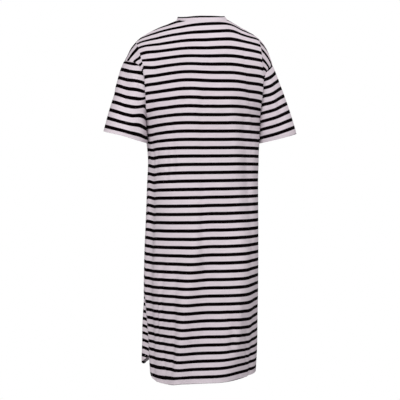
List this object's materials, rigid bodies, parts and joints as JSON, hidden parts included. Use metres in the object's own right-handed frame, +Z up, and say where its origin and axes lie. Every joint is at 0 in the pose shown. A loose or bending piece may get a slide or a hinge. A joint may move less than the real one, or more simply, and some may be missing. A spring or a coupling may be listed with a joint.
{
  "type": "t-shirt dress",
  "caption": "Loose knee-length t-shirt dress in striped cotton jersey, with short dropped sleeves, a plain crew neckband and side slits, holding its worn shape.",
  "frame": {"origin": "middle of the shoulder line, where the wearer's shoulders and neck hold the dress up", "axes": "+Z up, front towards -Y, wearer's left towards +X"},
  "size_m": [0.6252, 0.3221, 1.1255],
  "materials": {
    "striped_jersey": "matt cotton single jersey, pale lilac with narrow black stripes",
    "plain_jersey": "matt cotton jersey, plain pale lilac"
  },
  "bodies": {
    "root": {"back": "striped_jersey", "front": "striped_jersey", "sleeve_left": "striped_jersey", "sleeve_right": "striped_jersey", "neckband": "plain_jersey"}
  },
  "joints": []
}
